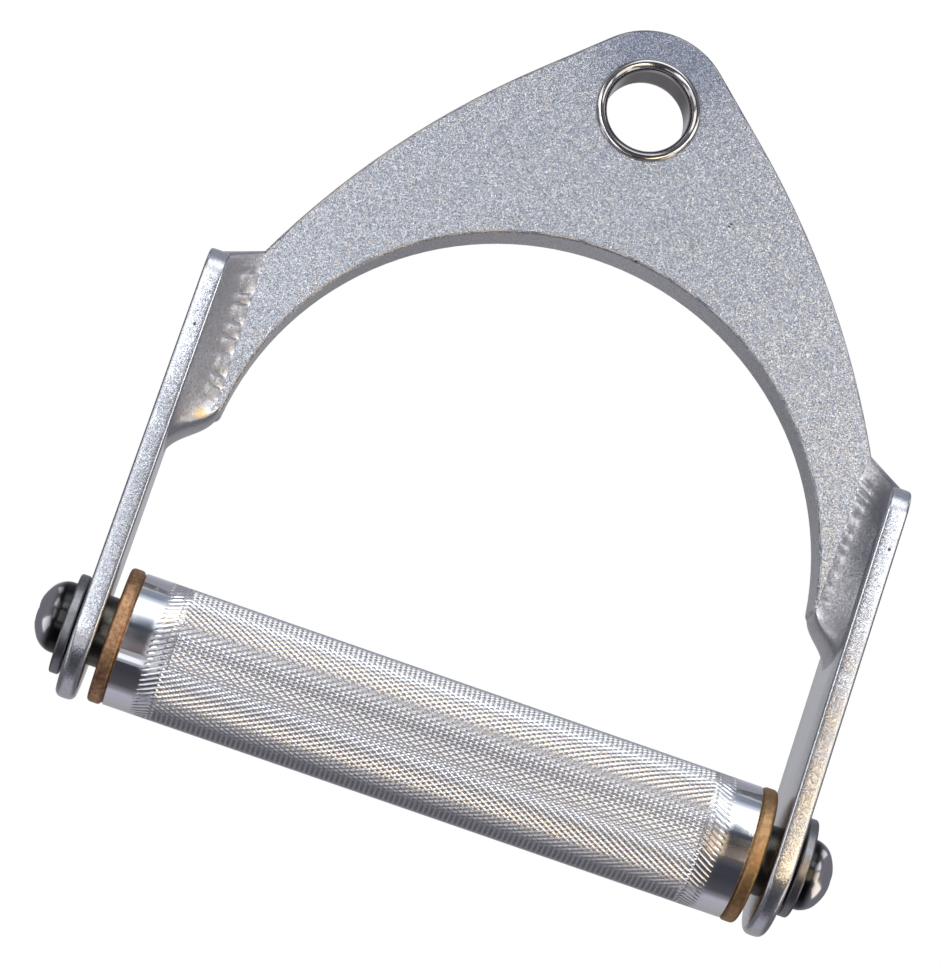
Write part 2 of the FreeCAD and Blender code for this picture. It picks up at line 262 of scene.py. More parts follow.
PIT, FAINT_PIT, SCUFF, RUST = (0.05, 0.05, 0.06), (0.08, 0.08, 0.09), (0.10, 0.10, 0.12), (0.20, 0.11, 0.07)
# Blemishes of the coat: place, radius, colour.
BLEMISHES = [((-84.5, -17.5, -88.8), 0.45, PIT),
             ((85.3, -17.5, -85.0), 0.45, PIT),
             ((75.5, -6.0, -66.7), 0.45, FAINT_PIT),
             ((27.3, -6.0, -19.9), 0.35, SCUFF),
             ((27.0, -6.0, -20.7), 0.35, SCUFF),
             ((8.6, -6.0, -36.7), 0.70, RUST)]


def worn_chamfer_glint(s, wear_and_glint):
    """Share of the colour that is worn chamfer with a painted glint: 0 except along the plate's chamfers,
    where patches of it reach the given share.
    """
    from_middle = s.math("ABSOLUTE", s.axis("Y"))
    band = s.math("MULTIPLY", s.fade(from_middle, CHAMFER_START, CHAMFER_START + CHAMFER_BLEND),
                  s.fade(from_middle, CHAMFER_END - CHAMFER_BLEND, CHAMFER_END, 1.0, 0.0))
    return s.math("MULTIPLY", band, s.fade(s.noise(GLINT_PATCH), 0.36, 0.60, 0.0, wear_and_glint))


def powder_coat(name, tilt, roughness, even, wear_and_glint):
    """Silver coat of fine flakes, with painted shade round the top of the eye.
    even is how far its speckle gives way to one pale grey; the last argument is how far the plate's chamfers
    are worn and painted with a bright glint."""
    s = Shader(name)
    speckle = s.ramp(s.noise(SPECKLE_SIZE, 1.0), SPECKLE)
    cloud = s.math("MULTIPLY", s.noise(CLOUD_SIZE, 2.0), CLOUD_SHARE)
    colour = s.mix(even, s.mix(cloud, speckle, CLOUD_GREY), EVEN_GREY)
    # Painted shade round the top of the eye.
    top_painted_shade = s.fade(s.distance(s.place, LOBE_TOP), *LOBE_REACH)
    colour = s.mix(top_painted_shade, colour, LOBE_PAINTED_SHADE)
    # Painted highlight: worn patches of the plate's chamfers get a bright golden to white colour, as a
    # painted glint.
    bare_glint = worn_chamfer_glint(s, wear_and_glint)
    colour = s.mix(bare_glint, colour, s.mix(s.fade(s.axis("X"), *GLINT_SPREAD), GLINT_LEFT, GLINT_RIGHT))
    for place, radius, spot_colour in BLEMISHES:
        colour = s.spot(colour, place, radius, spot_colour)
    normal = s.bump(s.noise(0.4, 2.0, 0.6), 0.02 * (1 - even), s.flakes(FLAKE_SIZE, tilt))
    return s.finish(colour, roughness, normal, s.math("SUBTRACT", 1.0, bare_glint), **CLEAR_COAT)


LAST_NUGGET_GLINT = ((-76.0, -8.3, -106.3), 1.9, (0.94, 0.74, 0.48))      # place, radius and colour of a painted golden glint
HOLLOW = (82.5, -10.0, -80.0)        # centre of the painted shade on the right-hand weld, below its shoulder
HOLLOW_STRETCH = 4.5                 # how much taller than wide the patch of painted shade is
HOLLOW_REACH = (2.0, 7.0, 0.75, 0.0)  # distances between which it fades out, and its shares there
# colour of the painted shade
HOLLOW_PAINTED_SHADE = (0.25, 0.25, 0.29)


def weld_bead():
    """Coated weld, speckled like the plate, with painted shade in the right-hand weld's hollow and a painted
    golden glint on the left-hand weld's last nugget.
    """
    s = Shader("weld_bead")
    colour = s.mix(s.noise(2.0, 3.0), (0.76, 0.76, 0.80), (0.92, 0.91, 0.90))
    speckle = s.fade(s.noise(SPECKLE_SIZE, 1.0), 0.40, 0.60, 0.0, 0.40)
    colour = s.mix(speckle, colour, (0.48, 0.48, 0.53))
    # Painted shade in the right-hand weld's hollow by the strap.
    x, y, z = HOLLOW
    squeezed = s.vector("MULTIPLY", s.place, (1.0, 1.0, 1 / HOLLOW_STRETCH))
    shade = s.fade(s.distance(squeezed, (x, y, z / HOLLOW_STRETCH)), *HOLLOW_REACH)
    colour = s.mix(shade, colour, HOLLOW_PAINTED_SHADE)
    # Painted highlight: a golden glint on the left-hand weld's last nugget.
    colour = s.spot(colour, *LAST_NUGGET_GLINT)
    normal = s.bump(s.noise(1.1, 3.0, 0.6), 0.035, s.flakes(0.30, 0.10))
    return s.finish(colour, 0.34, normal)


BORE_SHADE_REACH = (3.6, 5.6)     # distances from the eye's middle between which the painted shade of its bore gives way to the lip


def polished_steel():
    """Polished lips, with painted shade inside the bore."""
    s = Shader("polished_steel")
    streaks = s.noise(0.5, 3.0, 0.6, (1.0, 0.25, 1.0))
    lips = s.mix(streaks, (0.50, 0.48, 0.48), (0.70, 0.68, 0.66))
    # Painted shade: the bore is painted dark.
    inside = s.fade(s.math("ABSOLUTE", s.axis("Y")), *BORE_SHADE_REACH, 1.0, 0.0)
    colour = s.mix(inside, lips, (0.15, 0.135, 0.14))
    return s.finish(colour, 0.13, s.bump(streaks, 0.006))


SATIN, GLOSS = 0.27, 0.07  # roughness of the knurl and of the plain ends
SATIN_BLEND = 3.0          # length over which the one turns into the other


def grip_steel():
    """Bright steel with turning marks, with painted shade in the knurl's grooves, and glossier on the plain
    ends.
    """
    s = Shader("grip_steel")
    height = s.math("SUBTRACT", s.axis("Z"), float(GRIP_Z))
    front = s.axis("Y")
    squares = s.math("ADD", s.math("MULTIPLY", height, height), s.math("MULTIPLY", front, front))
    radius = s.math("SQRT", squares)
    # Painted shade: the knurl's grooves are painted a darker grey.
    groove_shade = s.fade(radius, GRIP_RADIUS - KNURL_DEPTH, GRIP_RADIUS - 0.1, 1.0, 0.0)
    turning = s.noise(0.5, 2.0, 0.6, (1.0, 0.02, 0.02))
    scratches = s.noise(0.5, 3.0, 0.7, (0.15, 1.0, 1.0))
    bright = s.mix(scratches, (0.74, 0.74, 0.76), (0.88, 0.88, 0.90))
    colour = s.mix(groove_shade, bright, (0.34, 0.34, 0.37))
    from_middle = s.math("ABSOLUTE", s.axis("X"))
    roughness = s.fade(from_middle, KNURL_END - SATIN_BLEND, KNURL_END, SATIN, GLOSS)
    return s.finish(colour, roughness, s.bump(turning, 0.002))


def bronze():
    """Mottled bronze, redder on the left and more golden on the right."""
    s = Shader("bronze")
    mottle = s.ramp(s.noise(1.1, 4.0, 0.65),
                    [(0.30, (0.27, 0.155, 0.09)), (0.50, (0.50, 0.285, 0.155)), (0.70, (0.70, 0.45, 0.26))])
    colour = s.mix(s.fade(s.axis("X"), -60.0, 60.0, 0.0, 0.4), mottle, (0.46, 0.32, 0.13))
    return s.finish(colour, 0.48, s.bump(s.noise(0.25, 3.0), 0.02))


def dark_metal(name, low, high, roughness, grain):
    """Dark steel, cloudy between two colours, with a fine grain."""
    s = Shader(name)
    colour = s.mix(s.noise(grain * 3, 3.0), low, high)
    return s.finish(colour, roughness, s.bump(s.noise(grain, 2.0), 0.008))


HEAD_SHADE = (92.2, 94.6)  # distances from the middle between which the painted shade by the washer gives way


def screw_steel():
    """Plated steel, with painted shade towards the washer."""
    s = Shader("screw_steel")
    domed = s.fade(s.math("ABSOLUTE", s.axis("X")), *HEAD_SHADE)
    plated = s.mix(s.noise(2.4, 3.0), (0.80, 0.78, 0.82), (0.92, 0.90, 0.94))
    return s.finish(s.mix(domed, 0.03, plated), 0.18, s.bump(s.noise(0.8, 2.0), 0.006))


# ---- the knurled grip ----

KNURL_STARTS = 72          # grooves of each hand round the tube
KNURL_ANGLE = 30.0         # degrees between a groove and the tube's axis
KNURL_DEPTH = 0.50         # of a groove cut to a point; the flat crests take half of it away
KNURL_CREST = 0.5          # share of a groove's spacing left flat on the crest
KNURL_RUN_OUT = 3.4        # length over which a groove fades out
KNURL_STAGGER = 3.4        # how much further one hand of grooves reaches than the other
KNURL_PLAIN = 4.8          # plain turned length at each end of the tube
KNURL_MARGIN = 0.3         # from there to the first plain ring of points
END_CHAMFER = 0.4
BORE_RADIUS = 10.5
CREST_POINTS = 4           # points round the tube to each groove
RUN_OUT_POINTS = 8         # the same where the grooves run out

KNURL_PERIOD = 2 * math.pi * GRIP_RADIUS / KNURL_STARTS / math.tan(math.radians(KNURL_ANGLE))
KNURL_END = GRIP_HALF - KNURL_PLAIN
# Plain end of the tube: (distance from its middle, radius), from the knurl round to the bore.
END_PROFILE = [(KNURL_END + KNURL_MARGIN, GRIP_RADIUS), (GRIP_HALF - END_CHAMFER, GRIP_RADIUS),
               (GRIP_HALF, GRIP_RADIUS - END_CHAMFER), (GRIP_HALF, BORE_RADIUS)]


def triangle_wave(turns):
    """0 at each whole number, 1 half way between."""
    return 1 - np.abs(2 * (turns - np.floor(turns)) - 1)


def groove_fade(x, start, end):
    """1 where a groove is at full depth, falling to 0 over the run-out before each end."""
    return np.clip(np.minimum(x - start, end - x) / KNURL_RUN_OUT, 0, 1)


def knurl_radius(x, turn):
    """Radius of the knurled tube at x and at shares of a whole turn."""
    along = x / KNURL_PERIOD
    around = turn * KNURL_STARTS
    falling = groove_fade(x, KNURL_STAGGER - KNURL_END, KNURL_END) - triangle_wave(around + along)
    rising = groove_fade(x, -KNURL_END, KNURL_END - KNURL_STAGGER) - triangle_wave(around - along)
    return GRIP_RADIUS - KNURL_DEPTH * np.maximum(0, np.maximum(rising, falling) - KNURL_CREST)


def knurl_rows():
    """(x, points to a groove) of each ring of points, finer where the grooves run out."""
    step = KNURL_PERIOD / CREST_POINTS
    fine_step = step / 2
    half_rows = int((KNURL_END - KNURL_RUN_OUT - KNURL_STAGGER) / step)
    full = [(k * step, CREST_POINTS) for k in range(-half_rows, half_rows + 1)]
    last_full = full[-1][0]
    fade_rows = math.ceil((KNURL_END - last_full) / fine_step)
    fade = [(last_full + k * fine_step, RUN_OUT_POINTS) for k in range(1, fade_rows + 1)]
    return [(-x, per_groove) for x, per_groove in reversed(fade)] + full + fade


def grip_ring(x, radius, count):
    """Points round the grip's axis, from the front up and over."""
    turn = 2 * np.pi * np.arange(count) / count
    return zip(np.full(count, x), -radius * np.cos(turn), GRIP_Z + radius * np.sin(turn))


def even_band(start, after, count, step):
    """Triangles between two rings of count points; their diagonals follow the grooves."""
    band = []
    for j in range(count):
        n = (j + 1) % count
        if (step + j) % 2 == 0:
            band += [(start + j, after + j, after + n), (start + j, after + n, start + n)]
        else:
            band += [(start + j, after + j, start + n), (start + n, after + j, after + n)]
    return band


def uneven_band(coarse, fine, count, coarse_first):
    """Triangles between a ring of count points and a ring of twice as many."""
    band = []
    for j in range(count):
        n = (j + 1) % count
        a, b = coarse + j, coarse + n
        p, q, r = fine + 2 * j, fine + 2 * j + 1, fine + 2 * n
        group = [(a, p, q), (a, q, b), (b, q, r)]
        band += group if coarse_first else [face[::-1] for face in group]
    return band


def knurl_faces(rings):
    """Triangles of the whole knurl, from its rings as (first point, count)."""
    faces = []
    middle = len(rings) // 2
    for k in range(len(rings) - 1):
        (start, count), (after, after_count) = rings[k], rings[k + 1]
        if count == after_count:
            faces += even_band(start, after, count, k - middle)
        elif count < after_count:
            faces += uneven_band(start, after, count, True)
        else:
            faces += uneven_band(after, start, after_count, False)
    return faces


def knurled_grip(material):
    """Tube with its knurl, plain ends and bore."""
    points, rings = [], []
    for x, per_groove in knurl_rows():
        count = KNURL_STARTS * per_groove
        rings.append((len(points), count))
        points.extend(grip_ring(x, knurl_radius(x, np.arange(count) / count), count))
    faces = knurl_faces(rings)
    smooth = [False] * len(faces)

    bores = []
    for side, (before, count) in ((-1, rings[0]), (1, rings[-1])):
        for x, radius in END_PROFILE:
            ring = len(points)
            points.extend(grip_ring(side * x, radius, count))
            faces += joined_rings(before, ring, count, side > 0)
            smooth += [radius == GRIP_RADIUS] * count
            before = ring
        bores.append(before)
    left_bore, right_bore = bores
    faces += joined_rings(right_bore, left_bore, count, True)
    smooth += [True] * count
    return mesh_piece("knurled_grip", points, faces, material, smooth)


# ---- straps ----

STRAP_TOP_ROUND = 8.0
STRAP_EDGE_ROUND = 0.7     # corner between a strap's edge and its faces
STRAP_END_ROUND = 1.7      # the same at the strap's lower end
END_ROUND_START = 4.0      # below the grip's axis, where the corner starts to grow
END_ROUND_BLEND = 8.0      # height over which it grows
STRAP_EDGE_BULGE = 0.03    # how far the edge bulges between those corners
STRAP_CLEARANCE = 0.06     # radial, bore round the axle
STRAP_STEP = 0.7           # spacing of points round the outline
CORNER_POINTS = 6
EDGE_SHARES = (0.66, 0.33)  # further points between a corner and the middle of the edge
EDGE_WAVE = 0.06           # how far the ground edge wanders in and out
EDGE_KNOTS = 60            # how often it may turn, once round


def strap_outline(half, middle_z, top_z):
    """Points (y, z) and outward normals round a strap, full round below and with rounded corners above."""
    corner = half - STRAP_TOP_ROUND
    corner_z = top_z - STRAP_TOP_ROUND

    def bend(centre_y, centre_z, radius, start, end):
        count = math.ceil(radius * abs(end - start) / STRAP_STEP)
        turn = np.linspace(start, end, count + 1)
        normal = np.stack([np.cos(turn), np.sin(turn)], 1)
        return [centre_y, centre_z] + radius * normal, normal

    def straight(start, end, normal):
        count = math.ceil(np.linalg.norm(np.subtract(end, start)) / STRAP_STEP)
        share = np.linspace(0, 1, count + 1)[1:-1]
        return blend(start, end, share), np.tile(normal, (count - 1, 1))

    pieces = [bend(0, middle_z, half, -math.pi, 0),
              straight((half, middle_z), (half, corner_z), (1.0, 0.0)),
              bend(corner, corner_z, STRAP_TOP_ROUND, 0, math.pi / 2),
              straight((corner, top_z), (-corner, top_z), (0.0, 1.0)),
              bend(-corner, corner_z, STRAP_TOP_ROUND, math.pi / 2, math.pi),
              straight((-half, corner_z), (-half, middle_z), (-1.0, 0.0))]
    return tuple(np.concatenate(rows) for rows in zip(*pieces))


def strap_profile(outline, half_thick):
    """Half of a strap's edge, from its face over the corner to near its middle, as pairs of arrays: distance
    from the middle of the thickness, and depth below the outline."""
    low_end = np.clip((GRIP_Z - END_ROUND_START - outline[:, 1]) / END_ROUND_BLEND, 0, 1)
    corner = STRAP_EDGE_ROUND + (STRAP_END_ROUND - STRAP_EDGE_ROUND) * low_end
    profile = []
    for turn in np.linspace(0, math.pi / 2, CORNER_POINTS):
        profile.append((half_thick - corner * (1 - math.cos(turn)),
                        corner * (1 - math.sin(turn)) + STRAP_EDGE_BULGE))
    for share in EDGE_SHARES:
        profile.append(((half_thick - corner) * share,
                        np.full(len(outline), STRAP_EDGE_BULGE * share ** 2)))
    return profile


def edge_wave(count, rng):
    """Small wandering in and out at each of count points, the same at both ends of the loop."""
    knots = rng.uniform(-1, 1, EDGE_KNOTS)
    places = np.linspace(0, EDGE_KNOTS, count)
    return EDGE_WAVE * np.interp(places, np.arange(EDGE_KNOTS + 1), np.append(knots, knots[0]))


def strap_bar(word, side, material, seed):
    """Flat bar with softened, slightly bulging edges and the bore for the axle."""
    low, high = node_box(word + "_strap")
    near, far = sorted((abs(low[0]), abs(high[0])))
    middle = (near + far) / 2
    outline, normal = strap_outline(high[1], GRIP_Z, high[2])
    count = len(outline)
    wave = edge_wave(count, np.random.default_rng(seed))
    profile = strap_profile(outline, (far - near) / 2)
    section = [(middle - out, inset + wave) for out, inset in profile]
    section += [(middle + out, inset + wave) for out, inset in reversed(profile)]

    bore_radius = AXLE_RADIUS + STRAP_CLEARANCE
    angle = np.arctan2(outline[:, 1] - GRIP_Z, outline[:, 0])
    bore = np.stack([bore_radius * np.cos(angle), GRIP_Z + bore_radius * np.sin(angle)], 1)
    rings = [(near, bore)]
    rings += [(x, outline - normal * inset[:, None]) for x, inset in section]
    rings.append((far, bore))
    points = np.concatenate([np.column_stack([np.full(count, side * x), ring]) for x, ring in rings])
    faces = []
    for k in range(len(rings)):
        faces += joined_rings(k * count, (k + 1) % len(rings) * count, count, side < 0)
    return mesh_piece(word + "_strap_bar", points, faces, material)


# ---- weld all round each end of the bow ----

# A fillet up the front or rear of a tip: its leg along the plate at the bottom and at the top, its leg
# along the strap, how far its ridge lies from the strap towards the plate's toe, as a share, at the bottom
# and at the top, and its number of ripples.
Fillet = namedtuple("Fillet", "bottom_leg top_leg strap_leg bottom_ridge top_ridge ripples")

# Part of a weld as arrays with a row for each section along it: its toes, ridge and root, the swing of its
# curve, the phase and strength of its ripples, and how crisp its ridge is.
Part = namedtuple("Part", "plate_toe strap_toe ridge root swing phase strength crispness")
SMOOTHED = ("plate_toe", "strap_toe", "ridge", "swing", "crispness")

NUGGET_ROWS = 14           # sections to a ripple
ACROSS_ROWS = 24           # sections across the plate's thickness
CORNER_ROWS = 28           # sections round each corner
SECTION_COLUMNS = 24       # points along a section
SEAM_ROWS = 15             # sections over which one part of the weld blends into the next
SEAM_PASSES = 3

PLATE_SIDE_SLOPE = 0.53    # slope of a fillet between its toe on the plate and its ridge
WOBBLE_KNOTS = 12          # how often a fillet's wobble may turn
LEG_WOBBLE = 0.25          # how far a toe on the plate wobbles
STRAP_WOBBLE = 0.20        # the same on the strap
PHASE_WOBBLE = 0.35        # unevenness of the ripples, as a share of one ripple
TURN_RATE = 7              # a fillet's top 1/7 turns over the shoulder
TURN_POWER = 1.5           # how late in that share it turns
TURN_SPREAD = 2.2          # how much wider it is on the strap where it turns
TURN_COVER = 1.8           # how far it then reaches over the strap
TURN_HOLLOW = 0.5          # how far its ridge then sinks towards a straight line between the toes
RIPPLE_TOP = 0.93          # share of a fillet's height at which its ripples end
RIPPLE_FADE = 14           # they fade in and out over 1/14 of its height

HEEL_RISE = 1.6            # from the underside of the tip up to the plate's lowest toe
STRAP_RISE = 2.0           # the same to a fillet's lowest toe on the strap
STRAP_FALL = 1.4           # from the front weld's top down to a fillet's highest toe on the strap
BURIED = 0.65              # how far the tip weld's box reaches above the plate's lower edge
FOOT_DROP = 1.0            # how much lower than its box the tip weld ends
FOOT_SPREAD = 1.5          # how much wider than the plate the tip weld is on the strap
HEEL_SPREAD = 0.8          # and on the plate
HEEL_INSET = 2.0           # how far its heel lies inside the arch's wall
TOP_INSET = 1.0            # how much narrower than the plate the top weld's straight part is
COVER_DROP = 0.2           # from the front weld's top down to the top weld's toe on the strap
ACROSS_SAG = 0.3           # how hollow the top and tip welds are
TOP_ROOT_DEPTH = 4.0       # and down to the top weld's root
TIP_ROOT_RISE = 3.0        # from the underside up to the tip weld's root
NO_SWING = (0.0, 0.0, 0.0)
TIP_SWING = (1.6, 0.0, 2.4)  # hollows the weld at the strap and rounds it out under the tip
CORNER_POWER = 0.8         # below 1, the strap's toe goes squarer round a corner
CORNER_FULLNESS = 0.16     # how far the ridge moves out towards that toe there

SMOOTH_FULLNESS = 0.55     # how far the curve's handles reach from a toe to the ridge where it is smooth
CRISP_ON_STRAP = 0.35      # how much further where the ridge is crisp, from the strap's toe
CRISP_ON_PLATE = 0.25      # and from the plate's
RIPPLE_SKEW = 1.35         # above 1, a ripple's crest comes late in it
RIPPLE_POWER = 0.6         # below 1, ripples are fuller domes with sharper gaps
RIPPLE_REST = 0.6          # height of a dome at which it leaves the ridge where it is
RIPPLE_SHARE = 0.24        # how far it shifts the ridge, as a share of the way from the strap's toe
RIPPLE_HEIGHT = 0.30
RIPPLE_ARC = 0.8           # how far ripples bend back towards the toes, as a share of one ripple
RIPPLE_ARC_CENTRE = 0.75   # share of a section, from the strap's toe, at which they lie furthest ahead
PLATE_RIPPLE_START = 0.42  # share of a section, from the strap's toe, at which the plate's side begins
PLATE_RIPPLE_RISE = 0.15   # share over which its ripples rise there
PLATE_RIPPLE_FALL = 0.2    # share before the plate's toe over which they fall
STRAP_RIPPLE = 0.06        # ripples' height on the strap's side, as a share
STRAP_RIPPLE_WIDTH = 0.5   # share of a section they cover
SINK = 0.15                # how far the toes reach into the steel


def smoothed(rows, width):
    """Running mean over a closed loop of rows."""
    half = width // 2
    return sum(np.roll(rows, k, axis=0) for k in range(-half, half + 1)) / (2 * half + 1)


def scallop(phase):
    """A row of domes, 0 where one ends and the next starts and 1 between."""
    return np.sin(math.pi * (phase - np.floor(phase)) ** RIPPLE_SKEW) ** RIPPLE_POWER


def weld_places(word):
    """Places the weld at one end of the bow runs between, as if that end were the right-hand one."""
    top_of_front = node_box(word + "_front_weld")[1]
    tip_low, tip_high = node_box(word + "_tip_weld")
    top_low, top_high = node_box(word + "_top_weld")
    return SimpleNamespace(top_z=top_of_front[2],
                           crown_x=min(abs(top_low[0]), abs(top_high[0])),
                           crown_z=top_high[2],
                           cover_x=max(abs(top_low[0]), abs(top_high[0])),
                           tip_x=min(abs(tip_low[0]), abs(tip_high[0])),
                           under_z=tip_high[2] - BURIED,
                           foot_z=tip_low[2] - FOOT_DROP)


def fillet_part(at, facing, fillet, rng):
    """Fillet up the front of a tip (facing -1) or its rear (+1), whose top turns over the shoulder."""
    rows = int(fillet.ripples * NUGGET_ROWS)
    up = np.linspace(0.0, 1.0, rows)
    wobble = np.interp(up, np.linspace(0, 1, WOBBLE_KNOTS), rng.uniform(-1, 1, WOBBLE_KNOTS))
    turned = np.clip(1 - (1 - up) * TURN_RATE, 0, 1) ** TURN_POWER

    leg = fillet.bottom_leg + (fillet.top_leg - fillet.bottom_leg) * up + LEG_WOBBLE * wobble
    plate_x = (STRAP_INNER_X - leg) * (1 - turned) + at.crown_x * turned
    plate_y = np.full(rows, facing * PLATE_HALF)
    plate_bottom = at.under_z + HEEL_RISE
    plate_toe = np.stack([plate_x, plate_y, plate_bottom + (at.crown_z - plate_bottom) * up], 1)

    strap_y = facing * (PLATE_HALF + fillet.strap_leg + STRAP_WOBBLE * wobble + TURN_SPREAD * turned)
    strap_bottom = at.under_z + STRAP_RISE
    strap_z = strap_bottom + (at.top_z - STRAP_FALL - strap_bottom) * up
    strap_toe = np.stack([STRAP_INNER_X + TURN_COVER * turned, strap_y, strap_z], 1)

    root = np.stack([np.full(rows, STRAP_INNER_X), plate_y, (plate_toe[:, 2] + strap_z) / 2], 1)
    share = fillet.bottom_ridge + (fillet.top_ridge - fillet.bottom_ridge) * up ** 2
    rise = PLATE_SIDE_SLOPE * (1 - share) * leg
    ridge = root + share[:, None] * (plate_toe - root) + rise[:, None] * [0, facing, 0]
    ridge += turned[:, None] * TURN_HOLLOW * ((plate_toe + strap_toe) / 2 - ridge)
    phase = up * fillet.ripples + PHASE_WOBBLE * wobble
    strength = np.clip(np.minimum(up * RIPPLE_FADE, (RIPPLE_TOP - up) * RIPPLE_FADE), 0, 1)
    return Part(plate_toe, strap_toe, ridge, root, np.zeros((rows, 3)), phase, strength, strength)


def across_part(plate_start, strap_start, root_z, swing):
    """Smooth weld across the plate's thickness, from one side's toes to their mirror images in y."""
    share = np.linspace(0.0, 1.0, ACROSS_ROWS)
    plate_toe, strap_toe = (blend((x, y, z), (x, -y, z), share) for x, y, z in (plate_start, strap_start))
    root = np.stack([np.full(ACROSS_ROWS, STRAP_INNER_X), plate_toe[:, 1], np.full(ACROSS_ROWS, root_z)], 1)
    ridge = (plate_toe + strap_toe) / 2 + [ACROSS_SAG / 2, 0, -ACROSS_SAG]
    swings = np.tile(swing, (ACROSS_ROWS, 1))
    return Part(plate_toe, strap_toe, ridge, root, swings, *np.zeros((3, ACROSS_ROWS)))


def corner_part(before, after):
    """Smooth quarter turn from the end of one part to the start of the next."""
    turn = np.linspace(0, math.pi / 2, CORNER_ROWS + 2)[1:-1]
    even = turn / (math.pi / 2)
    late = 1 - np.cos(turn) ** CORNER_POWER
    early = np.sin(turn) ** CORNER_POWER
    joins = zip(before[:5], after[:5])
    plate_toe, strap_toe, ridge, root, swing = (blend(last[-1], first[0], even) for last, first in joins)
    start, end = before.strap_toe[-1], after.strap_toe[0]
    leaves_side = abs(start[1]) > abs(end[1])
    y_share, z_share = (late, early) if leaves_side else (early, late)
    strap_toe[:, 1] = start[1] + (end[1] - start[1]) * y_share
    strap_toe[:, 2] = start[2] + (end[2] - start[2]) * z_share
    ridge += CORNER_FULLNESS * np.sin(2 * turn)[:, None] * (strap_toe - ridge)
    return Part(plate_toe, strap_toe, ridge, root, swing, *np.zeros((3, CORNER_ROWS)))


def weld_loop(at, front, rear, rng):
    """The whole weld: up the front, over the shoulder, down the rear and back under the tip."""
    top_y = PLATE_HALF - TOP_INSET
    foot_y = PLATE_HALF + FOOT_SPREAD
    heel_y = PLATE_HALF + HEEL_SPREAD
    front_part = fillet_part(at, -1, front, rng)
    rear_part = fillet_part(at, 1, rear, rng)
    parts = [front_part,
             across_part((at.crown_x, -top_y, at.crown_z), (at.cover_x, -top_y, at.top_z - COVER_DROP),
                         at.top_z - TOP_ROOT_DEPTH, NO_SWING),
             Part(*(rows[::-1] for rows in rear_part)),
             across_part((at.tip_x - HEEL_INSET, heel_y, at.under_z + HEEL_RISE),
                         (STRAP_INNER_X, foot_y, at.foot_z), at.under_z + TIP_ROOT_RISE, TIP_SWING)]
    loop = []
    for part, following in zip(parts, parts[1:] + parts[:1]):
        loop += [part, corner_part(part, following)]
    whole = Part(*(np.concatenate(rows) for rows in zip(*loop)))
    for _ in range(SEAM_PASSES):
        whole = whole._replace(**{field: smoothed(getattr(whole, field), SEAM_ROWS) for field in SMOOTHED})
    return whole


def weld_surface(weld):
    """Grid of points; each row is a section, from the strap's toe over the ridge to the plate's toe."""
    inward = weld.root - weld.ridge
    inward /= np.linalg.norm(inward, axis=1)[:, None]
    plate_toe = weld.plate_toe + SINK * inward
    strap_toe = weld.strap_toe + SINK * inward
    shift = (RIPPLE_REST - scallop(weld.phase)) * weld.strength * RIPPLE_SHARE
    ridge = weld.ridge + shift[:, None] * (weld.ridge - strap_toe)
    on_strap = SMOOTH_FULLNESS + CRISP_ON_STRAP * weld.crispness
    on_plate = SMOOTH_FULLNESS + CRISP_ON_PLATE * weld.crispness
    near_strap = strap_toe + on_strap[:, None] * (ridge - strap_toe) + weld.swing
    near_plate = plate_toe + on_plate[:, None] * (ridge - plate_toe) - weld.swing

    t = np.linspace(0, 1, SECTION_COLUMNS)
    weights = ((1 - t) ** 3, 3 * (1 - t) ** 2 * t, 3 * (1 - t) * t ** 2, t ** 3)
    controls = (strap_toe, near_strap, near_plate, plate_toe)
    grid = sum(weight[None, :, None] * control[:, None] for weight, control in zip(weights, controls))

    domes = scallop(weld.phase[:, None] + RIPPLE_ARC * (t - RIPPLE_ARC_CENTRE) ** 2) - 0.5
    rising = np.clip((t - PLATE_RIPPLE_START) / PLATE_RIPPLE_RISE, 0, 1)
    falling = np.clip((1 - t) / PLATE_RIPPLE_FALL, 0, 1) ** 0.5
    on_strap_side = STRAP_RIPPLE * np.sin(np.pi * np.clip(t / STRAP_RIPPLE_WIDTH, 0, 1))
    swell = (rising * falling + on_strap_side) * domes * weld.strength[:, None] * RIPPLE_HEIGHT
    return grid - swell[..., None] * inward[:, None]


def weld_wrap(word, side, front, rear, material, seed):
    """Weld round one end of the bow, closed along its root inside the steel."""
    weld = weld_loop(weld_places(word), front, rear, np.random.default_rng(seed))
    grid = np.concatenate([weld_surface(weld), weld.root[:, None]], axis=1)
    rows, columns = grid.shape[:2]
    points = grid.reshape(-1, 3) * [side, 1, 1]
    faces = []
    for row in range(rows):
        faces += joined_rings(row * columns, (row + 1) % rows * columns, columns, side > 0)
    return mesh_piece(word + "_weld_wrap", points, faces, material)


# ---- build ----

WELD = weld_bead()
# Finishes of the CAD parts that show as they are, by how their names end.
FINISH = {
    "bow_plate": powder_coat("powder_coat", FLAKE_TILT, roughness=0.38, even=0.0, wear_and_glint=1.0),
    "top_weld": WELD,
    "tip_weld": WELD,
    "eye_bush": polished_steel(),
    "bushing": bronze(),
    "axle_shaft": dark_metal("axle_steel", (0.03, 0.028, 0.025), (0.15, 0.14, 0.12), 0.26, 0.4),
    "washer": dark_metal("washer_steel", (0.17, 0.17, 0.18), (0.36, 0.36, 0.37), 0.36, 0.3),
    "screw": screw_steel(),
}
for name, node in nodes.items():
    finish = next((FINISH[ending] for ending in FINISH if name.endswith(ending)), None)
    if finish:
        node.data.materials.clear()
        node.data.materials.append(finish)

stand_in(knurled_grip(grip_steel()), "grip", "grip_steel", "grip_tube")

STRAP_COAT = powder_coat("strap_coat", STRAP_FLAKE_TILT, roughness=0.27, even=0.55, wear_and_glint=0.0)
for word, side, seed in (("left", -1, 11), ("right", 1, 12)):
    stand_in(strap_bar(word, side, STRAP_COAT, seed), "frame", "powder_coat", word + "_strap")

